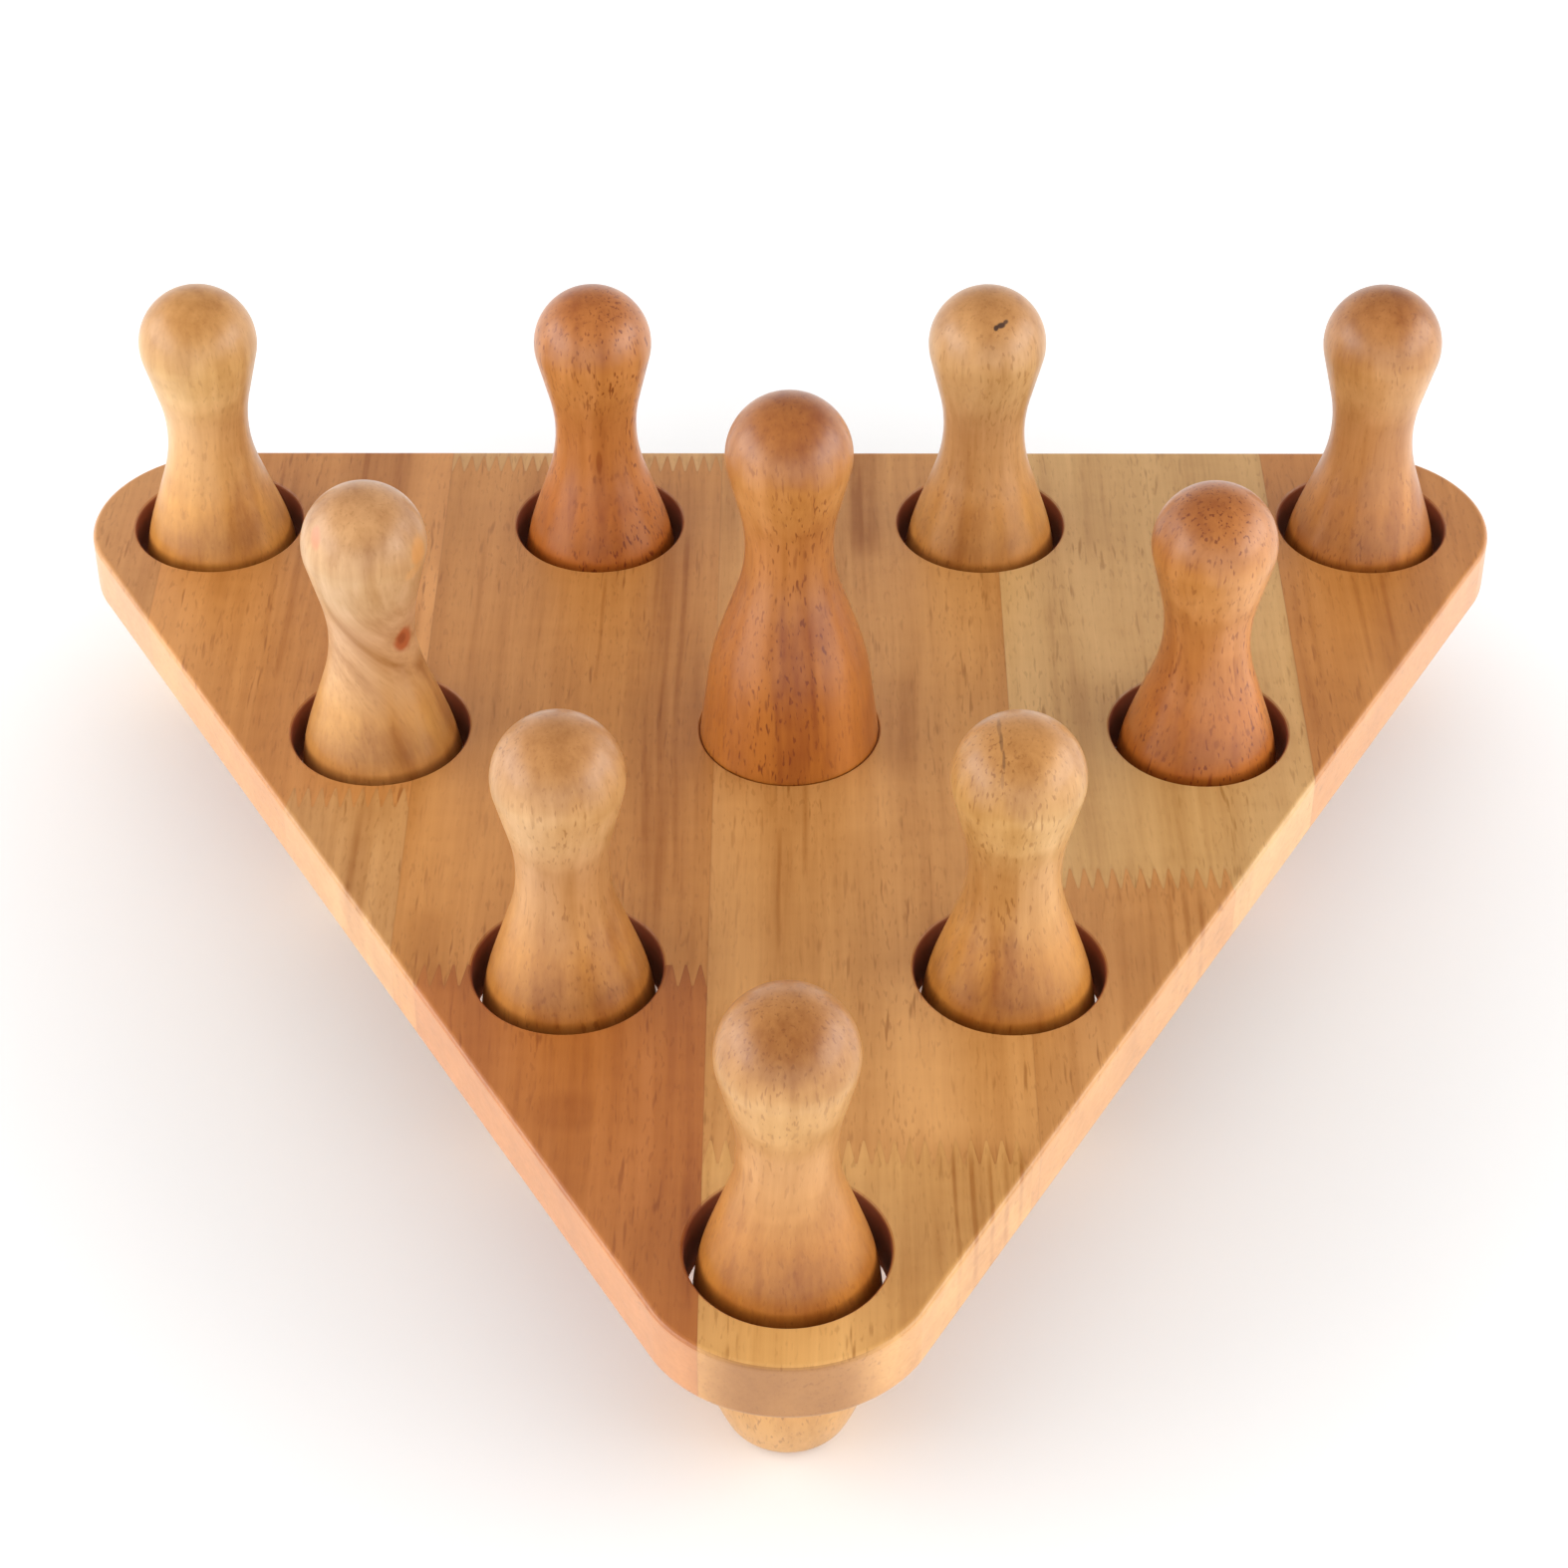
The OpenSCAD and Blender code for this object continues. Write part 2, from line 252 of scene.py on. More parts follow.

# What shows on each pin: streaks, patches, coloured marks, how strongly its pores show, and how its grain
# leans and sways where it does so by more than the others' does.
# On the front of most pins and of the handle, the paler patches at the low head and neck are painted sheen,
# the darker ones at the crown and just above the hole's rim are painted shade, and pin_1's pale foot is
# painted light from the floor.
PIN_FIGURE_AND_PAINTED_LIGHT = {
    "pin_1": {
        "streaks": [(-6, 0.8, 60, 105, 0.12), (8, 3, 60, 120, -0.08)],
        "patches": [((-1, -10, 132.5), (10, 9, 7.5), 0.22), ((0, -13, 115), (16, 9, 9), -0.3),
                    ((0, -14, 95), (16, 12, 14), -0.26), ((0, -20, 62), (22, 14, 13), 0.18),
                    ((0, -14, 10), (30, 30, 20), -0.4)],
        "pores": 0.7},
    "pin_2": {
        "streaks": [(-9, 1.6, 55, 100, -0.12), (11, 3, 55, 110, 0.1)],
        "patches": [((1, -9, 134), (11, 10, 8), 0.12), ((0, -13, 114), (17, 10, 12), -0.22),
                    ((10, -10, 68), (7, 6, 8), -0.14), ((0, -20, 60), (22, 14, 12), 0.1)],
        "pores": 0.8},
    "pin_3": {
        "streaks": [(-2, 2.5, 72, 108, 0.24), (-6, 1.0, 70, 100, 0.16)],
        "patches": [((0, -10, 134), (5, 7, 6), 0.14), ((8, -8, 128), (7, 8, 8), -0.16),
                    ((4, -13, 95), (8, 8, 20), -0.12), ((0, -13, 115), (16, 10, 7), -0.14),
                    ((0, -20, 62), (22, 14, 12), 0.16), ((-4, -4, 138), (12, 8, 5), -0.12)],
        "marks": [((-5.6, 0.5, 138.0), (0.5, 4, 2.0), (124, 80, 42), 0.5),
                  ((-5.2, -5, 137.2), (0.45, 3.5, 1.6), (104, 64, 32), 0.6),
                  ((-4.7, -9.4, 135.2), (0.4, 3, 2.0), (104, 64, 32), 0.6),
                  ((-5.1, -13, 131.4), (0.35, 3, 1.8), (140, 92, 50), 0.5)],
        "pores": 0.9},
    "pin_4": {
        "streaks": [(2, 1.6, 60, 118, 0.16), (8, 2.2, 60, 118, -0.16), (14, 1.4, 60, 118, 0.18),
                    (19, 2.0, 60, 118, -0.12), (24, 1.2, 60, 118, 0.16), (-4, 2.6, 60, 100, 0.1)],
        "patches": [((-3, -8, 135), (8, 6, 5), -0.14), ((0, -13, 115), (16, 10, 9), -0.1),
                    ((5, -17, 62), (18, 8, 9), 0.16)],
        "marks": [((9.4, -7.2, 94.9), (2.7, 4, 4.3), (166, 82, 38), 0.95),
                  ((9.1, -8.0, 95.8), (1.1, 3, 1.9), (134, 60, 26), 0.7),
                  ((-11.6, -9.6, 131), (1.6, 3, 3.4), (204, 126, 84), 0.7),
                  ((15.3, -6.5, 124), (2.2, 4, 4.5), (216, 150, 76), 0.5),
                  ((13.6, -9, 119), (2.4, 4, 2.0), (222, 162, 92), 0.3)],
        "pores": 0.35, "lean": (72, 112, 22), "sway": 32.0},
    "pin_6": {
        "streaks": [(6, 1.2, 60, 110, 0.1), (-12, 3, 60, 120, 0.1)],
        "patches": [((-1, -8, 135), (12, 10, 8), 0.1), ((9, -10, 112), (8, 8, 24), -0.14),
                    ((0, -13, 115), (16, 10, 10), -0.16)],
        "pores": 1.6},
    "pin_7": {
        "streaks": [(7, 6, 60, 118, 0.12), (-7, 7, 56, 112, -0.08)],
        "patches": [((-4, -12, 92), (14, 12, 26), -0.16), ((0, -13, 115), (16, 10, 9), -0.12),
                    ((2, -10, 136), (10, 9, 6), 0.1), ((6, -19, 60), (14, 12, 12), 0.12)],
        "pores": 0.35},
    "pin_8": {
        "streaks": [(1, 1.6, 60, 112, 0.14), (-7, 1.0, 62, 100, 0.12), (-5, 1.2, 118, 139, 0.14),
                    (2, 1.6, 118, 139, 0.16), (8, 1.4, 112, 136, -0.14), (11, 2, 58, 110, -0.14),
                    (-10, 1.6, 58, 120, -0.12)],
        "patches": [((1.3, -12.3, 88), (0.9, 3, 4), 0.35), ((0, -13, 115), (16, 10, 8), -0.1)],
        "pores": 1.4},
    "pin_9": {
        "streaks": [(-5.5, 3.2, 58, 112, 0.12), (7, 3.0, 58, 100, -0.06), (11.5, 2.0, 56, 96, -0.12)],
        "patches": [((-9, -10, 128), (8, 9, 12), -0.12), ((8, -10, 128), (8, 9, 12), -0.12)],
        "marks": [((3.1, -11, 134.8), (1.2, 3, 0.6), (62, 34, 20), 0.95),
                  ((1.6, -11.3, 134.4), (0.7, 3, 0.6), (62, 34, 20), 0.95),
                  ((4.4, -10.6, 135.3), (0.8, 3, 0.45), (76, 44, 26), 0.9)],
        "pores": 0.6},
    "pin_10": {
        "streaks": [(11, 1.5, 55, 112, -0.28), (-2, 2.0, 58, 100, 0.05)],
        "patches": [((3, -5, 138), (12, 9, 5), 0.14), ((2, -13, 113), (16, 12, 12), -0.22),
                    ((0, -20, 60), (20, 14, 12), 0.08)],
        "pores": 0.9},
    "handle_pin": {
        "streaks": [(2.5, 3.2, 55, 168, 0.1), (-2, 1.0, 60, 130, 0.16), (-10, 3.5, 58, 110, -0.12),
                    (9, 1.2, 58, 115, 0.16), (15, 2.5, 58, 100, -0.1), (6, 0.8, 62, 100, 0.2),
                    (-4.5, 0.7, 58, 84, 0.26)],
        "patches": [((0, -8, 165), (16, 12, 8), 0.14), ((0, -13, 143), (16, 10, 10), -0.16),
                    ((0, -12, 118), (13, 10, 16), -0.1)],
        "pores": 1.2},
}

BOARD_LOW, BOARD_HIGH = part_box("stave_4_back")
BOARD_BASE = BOARD_LOW.z / MM
BOARD_TOP = BOARD_HIGH.z / MM
LOOSE_PINS = sorted(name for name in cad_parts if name.startswith("pin_"))


def centre_of(node):
    """Middle of a CAD node's box in plan, in millimetres."""
    low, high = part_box(node)
    return (low.x + high.x) / 2 / MM, (low.y + high.y) / 2 / MM


PLACES = {name: centre_of(name) for name in LOOSE_PINS + ["handle_pin"]}


def make_camera():
    """The camera at the photograph's angle, with its shift at zero."""
    turn, rise, roll = (math.radians(a) for a in (CAMERA_TURN, CAMERA_ELEVATION, CAMERA_ROLL))
    back = Vector((math.sin(turn) * math.cos(rise), -math.cos(turn) * math.cos(rise), math.sin(rise)))
    side = (-back).cross(Vector((0, 0, 1))).normalized()
    lift = side.cross(-back)
    right = side * math.cos(roll) + lift * math.sin(roll)
    up = lift * math.cos(roll) - side * math.sin(roll)
    data = bpy.data.cameras.new("camera")
    data.sensor_width = SENSOR
    data.lens = CAMERA_FOCAL_PIXELS / PHOTO_SIDE * SENSOR
    data.clip_start, data.clip_end = 0.01, 50.0
    camera = bpy.data.objects.new("camera", data)
    target = Vector((CAMERA_TARGET[0], CAMERA_TARGET[1], BOARD_TOP))
    place = (target + back * CAMERA_DISTANCE) * MM
    camera.matrix_world = Matrix.Translation(place) @ Matrix((right, up, back)).transposed().to_4x4()
    bpy.context.scene.collection.objects.link(camera)
    bpy.context.scene.camera = camera


class Tree:
    """A material's nodes. Each method adds one step and returns the socket that holds its result."""

    def __init__(self, name):
        self.material = bpy.data.materials.new(name)
        self.material.use_nodes = True
        self.nodes = self.material.node_tree.nodes
        self.links = self.material.node_tree.links
        self.shader = self.nodes["Principled BSDF"]

    @classmethod
    def of_world(cls, name):
        """The same tools for the world's nodes."""
        tree = cls.__new__(cls)
        world = bpy.data.worlds.new(name)
        bpy.context.scene.world = world
        world.use_nodes = True
        tree.nodes, tree.links = world.node_tree.nodes, world.node_tree.links
        return tree

    def feed(self, socket, value):
        """Link a result to a socket, or set a plain value on it."""
        if isinstance(value, bpy.types.NodeSocket):
            self.links.new(value, socket)
        else:
            socket.default_value = value

    def math(self, operation, *values):
        node = self.nodes.new("ShaderNodeMath")
        node.operation = operation
        for socket, value in zip(node.inputs, values):
            self.feed(socket, value)
        return node.outputs[0]

    def add(self, a, b):
        return self.math("ADD", a, b)

    def times(self, a, b):
        return self.math("MULTIPLY", a, b)

    def scaled(self, vector, factors):
        node = self.nodes.new("ShaderNodeVectorMath")
        node.operation = "MULTIPLY"
        self.feed(node.inputs[0], vector)
        node.inputs[1].default_value = factors
        return node.outputs[0]

    def joined(self, x, y, z):
        node = self.nodes.new("ShaderNodeCombineXYZ")
        for socket, value in zip(node.inputs, (x, y, z)):
            self.feed(socket, value)
        return node.outputs[0]

    def split(self, vector):
        node = self.nodes.new("ShaderNodeSeparateXYZ")
        self.feed(node.inputs[0], vector)
        return node.outputs[0], node.outputs[1], node.outputs[2]

    def position(self):
        """Place in the piece's own frame, in millimetres."""
        node = self.nodes.new("ShaderNodeTexCoord")
        return self.scaled(node.outputs["Object"], (1 / MM, 1 / MM, 1 / MM))

    def noise(self, vector, stretch, detail=2.0, roughness=0.5, shift=0.0):
        """Noise from about 0 to 1, with its own number of features per millimetre along each axis."""
        node = self.nodes.new("ShaderNodeTexNoise")
        node.noise_dimensions = "4D"
        self.links.new(self.scaled(vector, stretch), node.inputs["Vector"])
        node.inputs["W"].default_value = shift
        node.inputs["Scale"].default_value = 1.0
        node.inputs["Detail"].default_value = detail
        node.inputs["Roughness"].default_value = roughness
        return node.outputs["Fac"]

    def step(self, value, start, end, low=0.0, high=1.0, kind="SMOOTHSTEP"):
        """Run from low to high while the value goes from start to end, level outside."""
        node = self.nodes.new("ShaderNodeMapRange")
        node.interpolation_type = kind
        for name, number in (("From Min", start), ("From Max", end), ("To Min", low), ("To Max", high)):
            node.inputs[name].default_value = number
        self.feed(node.inputs["Value"], value)
        return node.outputs["Result"]

    def band(self, value, centre, half, soft):
        """1 within half of the centre, falling smoothly to 0 across twice the softness."""
        away = self.math("ABSOLUTE", self.math("SUBTRACT", value, centre))
        return self.step(away, half - soft, half + soft, 1.0, 0.0)

    def length(self, vector):
        node = self.nodes.new("ShaderNodeVectorMath")
        node.operation = "LENGTH"
        self.feed(node.inputs[0], vector)
        return node.outputs["Value"]

    def blob(self, place, ripple, centre, radii):
        """1 at the centre of a soft, slightly uneven spot, and 0 outside it."""
        node = self.nodes.new("ShaderNodeVectorMath")
        node.operation = "SUBTRACT"
        self.feed(node.inputs[0], place)
        node.inputs[1].default_value = centre
        away = self.length(self.scaled(node.outputs[0], tuple(1 / r for r in radii)))
        away = self.add(away, self.times(self.add(ripple, -0.5), BLOB_RAGGED))
        return self.step(away, *BLOB_FADE, 1.0, 0.0)

    def ramp(self, value, stops):
        node = self.nodes.new("ShaderNodeValToRGB")
        self.feed(node.inputs[0], value)
        elements = node.color_ramp.elements
        while len(elements) < len(stops):
            elements.new(0.5)
        for element, (place, colour) in zip(elements, stops):
            element.position = place
            element.color = (*colour, 1.0)
        return node.outputs[0]

    def blend(self, mask, under, over, mode="MIX"):
        node = self.nodes.new("ShaderNodeMix")
        node.data_type = "RGBA"
        node.blend_type = mode
        self.feed(node.inputs[0], mask)
        for socket, value in ((node.inputs[6], under), (node.inputs[7], over)):
            self.feed(socket, (*value, 1.0) if isinstance(value, tuple) else value)
        return node.outputs[2]

    def bump(self, height):
        """Fine relief on the shader's normal."""
        node = self.nodes.new("ShaderNodeBump")
        node.inputs["Strength"].default_value = BUMP_STRENGTH
        node.inputs["Distance"].default_value = BUMP_DISTANCE
        self.feed(node.inputs["Height"], height)
        self.links.new(node.outputs[0], self.shader.inputs["Normal"])

    def seen(self):
        """1 where this is seen, straight, mirrored or through glass, and 0 where it lights other things."""
        path = self.nodes.new("ShaderNodeLightPath").outputs
        seen = self.math("MAXIMUM", path["Is Camera Ray"], path["Is Glossy Ray"])
        return self.math("MAXIMUM", seen, path["Is Transmission Ray"])


def linear(red, green, blue):
    """A colour as the eye names it, out of 255, in the linear values that a shader takes."""
    return tuple(((c / 255 + 0.055) / 1.055) ** 2.4 for c in (red, green, blue))


def shade(tone, factors=(1, 1, 1)):
    """The wood under the lacquer: a tone as the eye names it, darker or paler, less the lacquer's sheen."""
    return tuple(min(0.9, max(0.003, c * f - SHEEN)) for c, f in zip(linear(*tone), factors))


def lacquer(tree):
    """Clear satin lacquer over the wood."""
    tree.shader.inputs["Specular IOR Level"].default_value = 0.5
    tree.shader.inputs["Coat Weight"].default_value = COAT
    tree.shader.inputs["Coat Roughness"].default_value = 0.28
    tree.shader.inputs["Coat IOR"].default_value = 1.45


def wood(name, tone, axes, seed, streaks, patches, pores, sway, contrast=1.0, lean=None):
    """Rubberwood with its grain along one axis.

    axes names what lies across, along and through the grain. A streak is (across, half width, from, to,
    amount) and a patch is (centre, radii, amount), in millimetres. Amounts over 0 are darker and redder.
    pores says how strongly long and short pores show, sway how far the grain wanders, and contrast how
    strongly it shows. lean is (from, to, shift): the grain drifts sideways by the shift between two places
    along it. Returns the tree, the place, the colour and the roughness."""
    tree = Tree(name)
    place = tree.position()
    parts = tree.split(place)
    across, along, through = (parts["XYZ".index(axis)] for axis in axes)
    wander = tree.noise(tree.joined(across, along, through), WANDER, 1.0, shift=seed)
    across = tree.add(across, tree.times(tree.add(wander, -0.5), sway))
    if lean:
        across = tree.add(across, tree.step(along, lean[0], lean[1], 0.0, lean[2]))
    grain = tree.joined(across, along, through)
    layers = {}
    depth = 0.5
    for layer, (stretch, roughness, shift, share) in FIGURE.items():
        layers[layer] = tree.noise(grain, stretch, 2.0, roughness, seed + shift)
        depth = tree.add(depth, tree.times(tree.add(layers[layer], -0.5), share * contrast))
    for spot, half, start, end, amount in streaks:
        mask = tree.band(across, spot, half, STREAK_SOFT * half)
        mask = tree.times(mask, tree.band(along, (start + end) / 2, (end - start) / 2, STREAK_FADE))
        depth = tree.add(depth, tree.times(tree.times(mask, tree.add(layers["middle"], 0.5)), amount))
    for centre, radii, amount in patches:
        depth = tree.add(depth, tree.times(tree.blob(place, layers["ripple"], centre, radii), amount))
    colour = tree.ramp(depth, [(0.0, shade(tone, PALER)), (0.5, shade(tone)), (1.0, shade(tone, DEEPER))])
    pore = 0.0
    for (stretch, shift, start, full), strength in zip((LONG_PORES, SHORT_PORES), pores):
        spots = tree.step(tree.noise(grain, stretch, 1.0, shift=seed + shift), start, full)
        pore = tree.math("MAXIMUM", pore, tree.times(spots, strength))
    stretch, shift, start, full = PORE_CROWDS
    crowd = tree.step(tree.noise(grain, stretch, 1.0, shift=seed + shift), start, full, PORES_LEAST, 1.0)
    pore = tree.times(pore, crowd)
    colour = tree.blend(pore, colour, shade(tone, PORE_DARK))
    tree.bump(tree.add(layers["fibre"], tree.times(pore, PORE_DEPTH)))
    lacquer(tree)
    return tree, place, colour, tree.step(layers["fibre"], 0.2, 0.8, *ROUGHNESS)


def stave_wood(name, seed):
    """A stave of the board: grain along Y, with its glue lines, finger joints, bores and end grain."""
    low, high = (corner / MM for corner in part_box(name))
    streaks = [t for t in BOARD_STREAKS if low.x < t[0] < high.x and t[3] > low.y and t[2] < high.y]
    patches = [t for t in BOARD_PATCHES if low.x < t[0][0] < high.x and low.y < t[0][1] < high.y]
    tree, place, colour, roughness = wood(
        name, TONES[name], "XYZ", seed, streaks, patches, BOARD_PORES, BOARD_SWAY)
    x, y = tree.split(place)[:2]
    dark = shade(TONES[name], GLUE_DARK)
    across = tree.math("SUBTRACT", x, SEAM)
    seam = tree.step(tree.math("PINGPONG", across, STAVE / 2), *SEAM_FADE, SEAM_DARK, 0.0)
    for back, front, strength in FINGER_JOINTS:
        if name in (back, front):
            valley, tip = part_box(back)[0].y / MM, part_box(front)[1].y / MM
            zigzag = tree.math("PINGPONG", across, FINGER)
            slant = tree.step(zigzag, FINGER_FLAT, FINGER - FINGER_FLAT, valley, tip, "LINEAR")
            away = tree.math("ABSOLUTE", tree.math("SUBTRACT", y, slant))
            seam = tree.math("MAXIMUM", seam, tree.step(away, *FINGER_FADE, strength, 0.0))
    colour = tree.blend(seam, colour, dark)
    facing = tree.nodes.new("ShaderNodeTexCoord").outputs["Normal"]
    normal = [tree.math("ABSOLUTE", part) for part in tree.split(facing)]
    upright = tree.step(normal[2], *UPRIGHT)
    # Upright faces pale towards a painted sheen.
    colour = tree.blend(tree.times(upright, UPRIGHT_SHEEN_SHARE), colour, linear(*UPRIGHT_PAINTED_SHEEN))
    level = tree.math("MAXIMUM", tree.length(tree.joined(normal[0], normal[1], 0.0)), 0.05)
    endwise = tree.step(tree.math("DIVIDE", normal[1], level), *ENDWISE)
    ends = tree.times(endwise, tree.step(normal[2], *TIPPED))
    colour = tree.blend(ends, colour, tree.blend(1.0, colour, END_GRAIN, "MULTIPLY"))
    line = tree.times(endwise, tree.band(normal[2], *END_LINE))
    colour = tree.blend(tree.times(line, END_LINE_DARK), colour, dark)
    near = HOLE_RADIUS + 1.0
    bores = 0.0
    for centre in PLACES.values():
        if low.x - near < centre[0] < high.x + near and low.y - near < centre[1] < high.y + near:
            offset = tree.joined(tree.add(x, -centre[0]), tree.add(y, -centre[1]), 0.0)
            fade = [HOLE_RADIUS + edge for edge in BORE_FADE]
            bores = tree.add(bores, tree.step(tree.length(offset), *fade))
    # The holes' walls take a darker colour: painted shade.
    tree.feed(tree.shader.inputs["Base Color"], tree.blend(bores, colour, linear(*BORE_PAINTED_SHADE)))
    tree.feed(tree.shader.inputs["Roughness"], tree.add(roughness, tree.times(bores, BORE_ROUGH)))
    tree.feed(tree.shader.inputs["Coat Weight"], tree.step(bores, 0.0, 1.0, COAT, 0.0, "LINEAR"))
    return tree.material


def turned_wood(name, seed):
    """A turned pin: grain along Z, in the pin's own frame, with -Y towards the camera."""
    figure_and_painted_light = PIN_FIGURE_AND_PAINTED_LIGHT[name]
    pores = [figure_and_painted_light["pores"] * share for share in PIN_PORES]
    tree, place, colour, roughness = wood(
        name, TONES[name], "XZY", seed, figure_and_painted_light["streaks"], figure_and_painted_light["patches"], pores,
        figure_and_painted_light.get("sway", PIN_SWAY), PIN_GRAIN, figure_and_painted_light.get("lean"))
    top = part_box(name)[1].z / MM
    # Painted sheen at the neck and painted shade towards the hole's rim, by how far below its top a point
    # lies.
    drop = tree.math("SUBTRACT", top, tree.split(place)[2])
    stops = PIN_PAINTED_LIGHT + (HANDLE_PAINTED_SHADE if name == "handle_pin" else LOOSE_PIN_PAINTED_LIGHT)
    painted_light = tree.ramp(tree.times(drop, 1 / top), [(down / top, factors) for down, factors in stops])
    colour = tree.blend(1.0, colour, painted_light, "MULTIPLY")
    stretch, shift = MARK_RIPPLE
    ripple = tree.noise(place, stretch, 1.0, shift=seed + shift)
    for centre, radii, mark, strength in figure_and_painted_light.get("marks", []):
        spot = tree.times(tree.blob(place, ripple, centre, radii), strength)
        colour = tree.blend(spot, colour, linear(*mark))
    tree.feed(tree.shader.inputs["Base Color"], colour)
    tree.feed(tree.shader.inputs["Roughness"], roughness)
    return tree.material


def arc(centre, radius, start, end, count):
    """Points on an arc from one direction to another, in radians."""
    angles = [start + (end - start) * i / count for i in range(count + 1)]
    return [(centre[0] + radius * math.cos(a), centre[1] + radius * math.sin(a)) for a in angles]


def crossing(a, radius_a, b, radius_b, side):
    """Direction, seen from circle a, of the straight run that crosses over to circle b."""
    dx, dy = b[0] - a[0], b[1] - a[1]
    return math.atan2(dy, dx) + side * math.acos((radius_a + radius_b) / math.hypot(dx, dy))


def pin_outline(top, belly_radius, waist):
    """Outline of a pin from the top down, as (radius, height).

    waist is None for a loose pin, and (radius, height) of the hole's rim for the handle."""
    rise = NECK_DROP - HEAD_RADIUS
    neck_curve = NECK_SWEEP * (rise**2 + NECK_RADIUS**2 - HEAD_RADIUS**2) / (2 * (HEAD_RADIUS - NECK_RADIUS))
    fall, spread = BELLY_DROP - NECK_DROP, belly_radius - NECK_RADIUS
    belly_curve = BELLY_SWEEP * ((fall**2 + spread**2) / (2 * spread) - neck_curve)
    head = (0.0, top - HEAD_RADIUS)
    neck = (NECK_RADIUS + neck_curve, top - NECK_DROP)
    belly = (belly_radius - belly_curve, top - BELLY_DROP)
    leave_head = crossing(head, HEAD_RADIUS, neck, neck_curve, 1)
    leave_neck = crossing(belly, belly_curve, neck, neck_curve, -1)
    if waist is None:
        stop, wide, height = 0.0, belly_radius, top - BELLY_DROP
    else:
        away = (waist[0] - belly[0], waist[1] - belly[1])
        stop = math.atan2(away[1], away[0]) + math.acos(belly_curve / math.hypot(*away))
        wide, height = waist[0], BOARD_BASE
    inset, drop = wide - FOOT_RADIUS, height - FOOT_ROUND
    skirt = (inset**2 + drop**2 - FOOT_ROUND**2) / (2 * (inset - FOOT_ROUND))
    meet = math.atan2(FOOT_ROUND - height, FOOT_RADIUS - (wide - skirt))
    points = arc(head, HEAD_RADIUS, math.pi / 2, leave_head, HEAD_STEPS)
    points += arc(neck, neck_curve, math.pi + leave_head, math.pi + leave_neck, NECK_STEPS)
    points += arc(belly, belly_curve, leave_neck, stop, BELLY_STEPS)
    if waist is not None:
        down = (BOARD_BASE - waist[1]) / WAIST_STEPS
        points += [(waist[0], waist[1] + down * i) for i in range(WAIST_STEPS)]
    points += arc((wide - skirt, height), skirt, 0.0, meet, SKIRT_STEPS)
    points += arc((FOOT_RADIUS, FOOT_ROUND), FOOT_ROUND, meet, -math.pi / 2, FOOT_STEPS)
    points += [(FOOT_RADIUS * share, 0.0) for share in (0.96, 0.6, 0.0)]
    return [p for i, p in enumerate(points) if i == 0 or math.dist(p, points[i - 1]) > 1e-6]


def turned(name, outline, place):
    """A solid of revolution from an outline that starts and ends on the axis."""
    turns = [2 * math.pi * k / SEGMENTS for k in range(SEGMENTS)]
    ring = [(math.cos(turn), math.sin(turn)) for turn in turns]
    vertices = [(0, 0, outline[0][1] * MM)]
    for radius, height in outline[1:-1]:
        vertices += [(radius * c * MM, radius * s * MM, height * MM) for c, s in ring]
    vertices.append((0, 0, outline[-1][1] * MM))
    rows, last = len(outline) - 2, len(vertices) - 1
    faces = []
    for k in range(SEGMENTS):
        after = (k + 1) % SEGMENTS
        faces.append((0, 1 + k, 1 + after))
        for row in range(rows - 1):
            upper, lower = 1 + row * SEGMENTS, 1 + (row + 1) * SEGMENTS
            faces.append((upper + k, lower + k, lower + after, upper + after))
        end = 1 + (rows - 1) * SEGMENTS
        faces.append((end + k, last, end + after))
    mesh = bpy.data.meshes.new(name)
    mesh.from_pydata(vertices, [], faces)
    mesh.polygons.foreach_set("use_smooth", [True] * len(mesh.polygons))
    mesh.update()
    piece = bpy.data.objects.new(name, mesh)
    piece.location = (place[0] * MM, place[1] * MM, 0)
    bpy.context.scene.collection.objects.link(piece)
    return piece


def make_pins():
    """Finely turned pins and handle in place of the plain ones."""
    for index, (name, place) in enumerate(PLACES.items()):
        low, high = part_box(name)
        if name == "handle_pin":
            outline = pin_outline(high.z / MM, HOLE_RADIUS - PIN_PLAY, (HOLE_RADIUS, BOARD_TOP))
            body = "board"
        else:
            outline = pin_outline(high.z / MM, (high.x - low.x) / 2 / MM, None)
            body = name
        piece = turned(name + "_turned", outline, place)
        piece.data.materials.append(turned_wood(name, PIN_SEED + PIN_SEED_STEP * index))
        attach(piece, body)
        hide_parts(name)


def dress_board():
    """Wood on every stave. The CAD meshes stay as they are."""
    for index, (name, node) in enumerate(sorted(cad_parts.items())):
        if name.startswith("stave"):
            material = stave_wood(name, STAVE_SEED_STEP * index)
            for slot in node.material_slots:
                slot.material = material


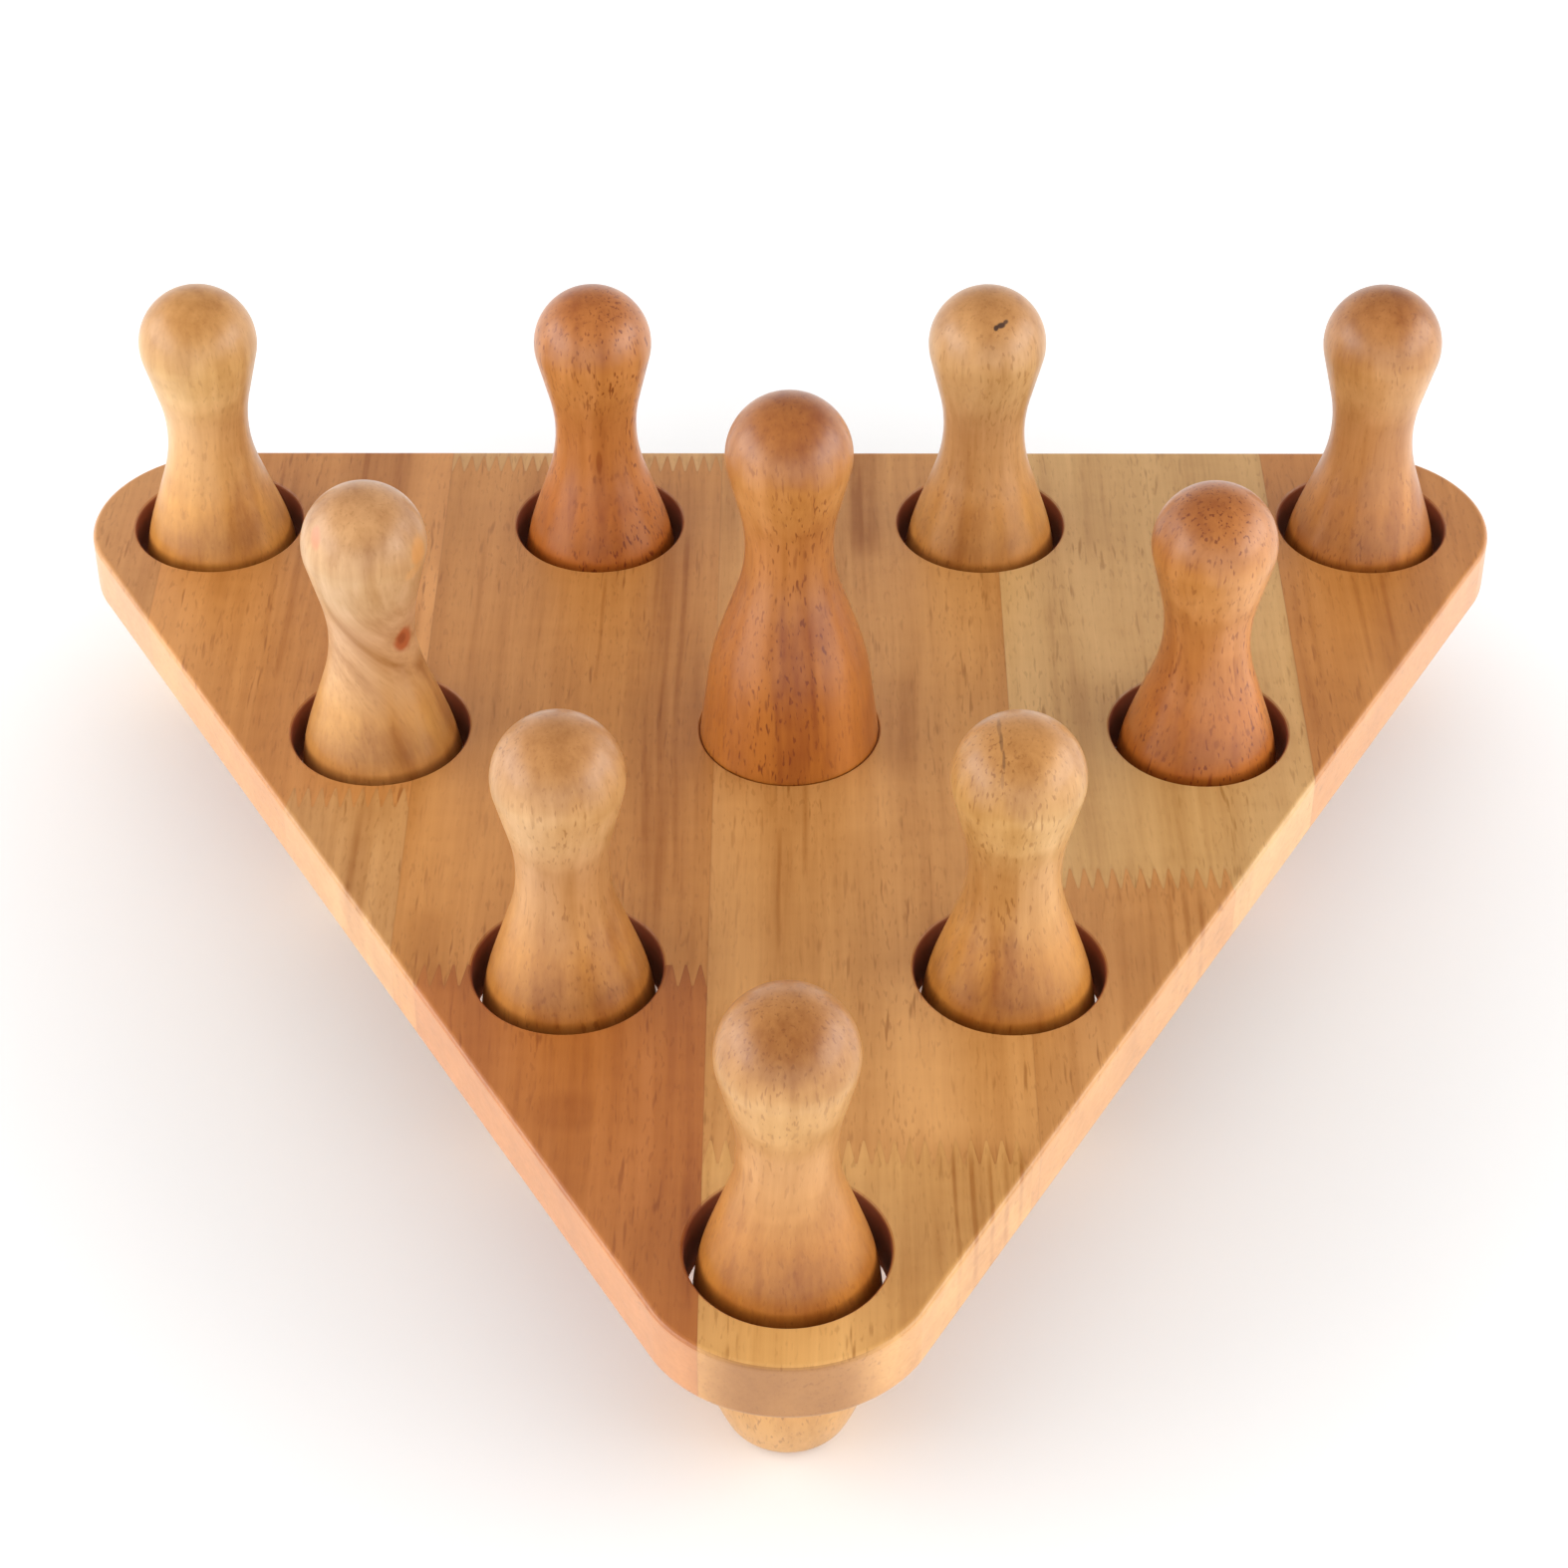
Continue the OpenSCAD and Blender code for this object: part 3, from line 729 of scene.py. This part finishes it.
def area_light(name, place, target, size, radiance):
    """A white rectangular soft box. Its power follows from how bright its face looks."""
    data = bpy.data.lights.new(name, "AREA")
    data.shape = "RECTANGLE"
    data.size, data.size_y = size
    data.energy = radiance * math.pi * size[0] * size[1]
    light = bpy.data.objects.new(name, data)
    light.location = place
    light.rotation_euler = (Vector(target) - Vector(place)).to_track_quat("-Z", "Y").to_euler()
    bpy.context.scene.collection.objects.link(light)


def make_world():
    """A pale backdrop, white at the horizon, and a low band of light all round under a dimmer ceiling."""
    tree = Tree.of_world("world")
    height = tree.split(tree.nodes.new("ShaderNodeTexCoord").outputs["Generated"])[2]
    seen = tree.seen()
    backdrop = tree.step(height, BACKDROP_FROM, BACKDROP_TO, 1.0, BACKDROP)
    light = tree.step(height, BAND_FULL, BAND_END, BAND_LIGHT, CEILING_LIGHT)
    strength = tree.add(tree.times(seen, backdrop), tree.times(tree.math("SUBTRACT", 1.0, seen), light))
    tree.feed(tree.nodes["Background"].inputs["Strength"], strength)
    tree.nodes["Background"].inputs["Color"].default_value = (1, 1, 1, 1)


def make_floor():
    """A white floor that keeps the shadow. Away from the object it glows a little, to reach full white."""
    mesh = bpy.data.meshes.new("floor")
    half = FLOOR_SIDE / 2
    corners = [(-half, -half, 0), (half, -half, 0), (half, half, 0), (-half, half, 0)]
    mesh.from_pydata(corners, [], [(0, 1, 2, 3)])
    floor = bpy.data.objects.new("floor", mesh)
    bpy.context.scene.collection.objects.link(floor)
    tree = Tree("floor")
    tree.shader.inputs["Base Color"].default_value = (*[FLOOR_WHITE] * 3, 1)
    tree.shader.inputs["Roughness"].default_value = 0.9
    tree.shader.inputs["Specular IOR Level"].default_value = 0.0
    tree.shader.inputs["Emission Color"].default_value = (1, 1, 1, 1)
    away = tree.length(tree.position())
    glow = tree.step(away, GLOW_FROM / MM, GLOW_FULL / MM, 0.0, FLOOR_GLOW)
    tree.feed(tree.shader.inputs["Emission Strength"], tree.times(tree.seen(), glow))
    floor.data.materials.append(tree.material)


def make_studio():
    """Two large soft boxes left and right, a room and a floor."""
    for name, side in (("left_box", -1), ("right_box", 1)):
        area_light(name, (side * BOX_DISTANCE, BOX_BACK, BOX_HEIGHT), BOX_AIM, BOX_SIZE, BOX_RADIANCE)
    make_world()
    make_floor()


make_camera()
dress_board()
make_pins()
make_studio()
bpy.context.scene.view_settings.view_transform = "Standard"
